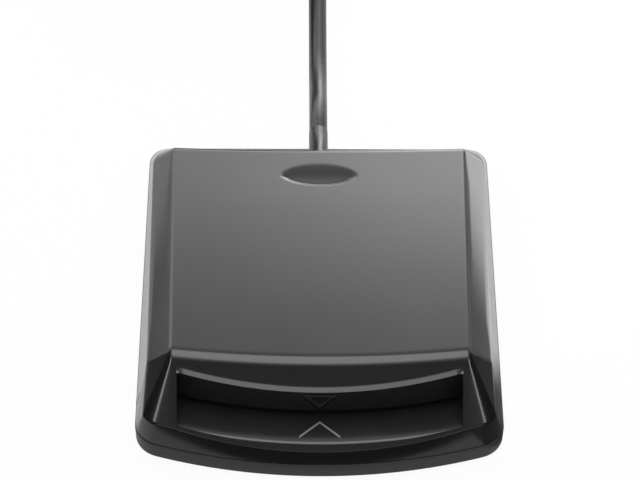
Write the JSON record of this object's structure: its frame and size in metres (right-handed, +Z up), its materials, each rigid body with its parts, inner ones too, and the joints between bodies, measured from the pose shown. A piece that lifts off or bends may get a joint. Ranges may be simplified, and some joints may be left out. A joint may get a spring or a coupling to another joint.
{
  "type": "smart card reader",
  "caption": "Low wedge-shaped desktop smart card reader with a slot in a recessed front mouth, a sealed body on rubber feet and a captive cable ending in a flat plug.",
  "frame": {"origin": "on the surface it stands on, on the centre line, midway between the front edge and the back edge of the top face; the sloping back and the cable reach further back", "axes": "+X to the reader's right seen from the card mouth, +Y from the mouth to the cable, +Z up"},
  "size_m": [0.0906, 0.1962, 0.0248],
  "materials": {
    "cover_gloss": "gloss",
    "base_satin": "satin",
    "mouth_matte": "matte",
    "guide_smoke": "clear smoked, polished",
    "arrow_grey": "satin print",
    "led_lens": "clear tinted",
    "board_green": "satin solder mask",
    "chip_black": "matte",
    "can_steel": "satin",
    "ceramic_tan": "satin",
    "connector_black": "matte",
    "plate_steel": "satin",
    "contact_gold": "polished",
    "leaf_bronze": "satin",
    "header_white": "satin",
    "wire_red": "satin",
    "wire_white": "satin",
    "wire_green": "satin",
    "wire_black": "satin",
    "relief_black": "satin",
    "screw_steel": "zinc plated",
    "foot_rubber": "matte",
    "label_blank": "matt film, blank",
    "cable_black": "satin",
    "tie_black": "satin",
    "grip_black": "satin",
    "shell_nickel": "nickel plated",
    "insulator_white": "satin"
  },
  "bodies": {
    "reader": {"upper_cover": "cover_gloss", "lower_cover": "base_satin", "mouth_insert": "mouth_matte", "light_guide": "guide_smoke", "insertion_arrow": "arrow_grey", "status_led": "led_lens", "circuit_board": "board_green", "controller_chip": "chip_black", "crystal": "can_steel", "capacitors": "ceramic_tan", "resistors": "chip_black", "connector_frame": "connector_black", "connector_cover_plate": "plate_steel", "contact_tails": "contact_gold", "card_switch_contact": "leaf_bronze", "cable_header": "header_white", "cable_socket": "header_white", "wire_red": "wire_red", "wire_white": "wire_white", "wire_green": "wire_green", "wire_black": "wire_black", "strain_relief": "relief_black", "cover_screws": "screw_steel", "board_screws": "screw_steel", "feet": "foot_rubber", "base_label": "label_blank", "cord_run": "cable_black", "cord_coil": "cable_black", "cord_tail": "cable_black", "cord_tie": "tie_black", "plug_boot": "relief_black", "plug_grip": "grip_black", "plug_shell": "shell_nickel", "plug_insulator": "insulator_white", "plug_contacts": "contact_gold"},
    "contact_row_front": {"contact_springs_front": "contact_gold"},
    "contact_row_rear": {"contact_springs_rear": "contact_gold"},
    "card_switch": {"card_switch_leaf": "leaf_bronze"}
  },
  "joints": [
    {"name": "front_contacts_press", "type": "hinge", "parent": "reader", "child": "contact_row_front", "pos_m": [0, -0.00205, 0.0072], "axis": [-1, 0, 0], "range_deg": [0, 5], "stiffness_Nm_per_rad": 0.05},
    {"name": "rear_contacts_press", "type": "hinge", "parent": "reader", "child": "contact_row_rear", "pos_m": [0, 0.00557, 0.0072], "axis": [-1, 0, 0], "range_deg": [0, 5], "stiffness_Nm_per_rad": 0.05},
    {"name": "card_switch_close", "type": "hinge", "parent": "reader", "child": "card_switch", "pos_m": [0.014, 0.02122, 0.0091], "axis": [0, 0, -1], "range_deg": [0, 7.5], "stiffness_Nm_per_rad": 0.02}
  ]
}
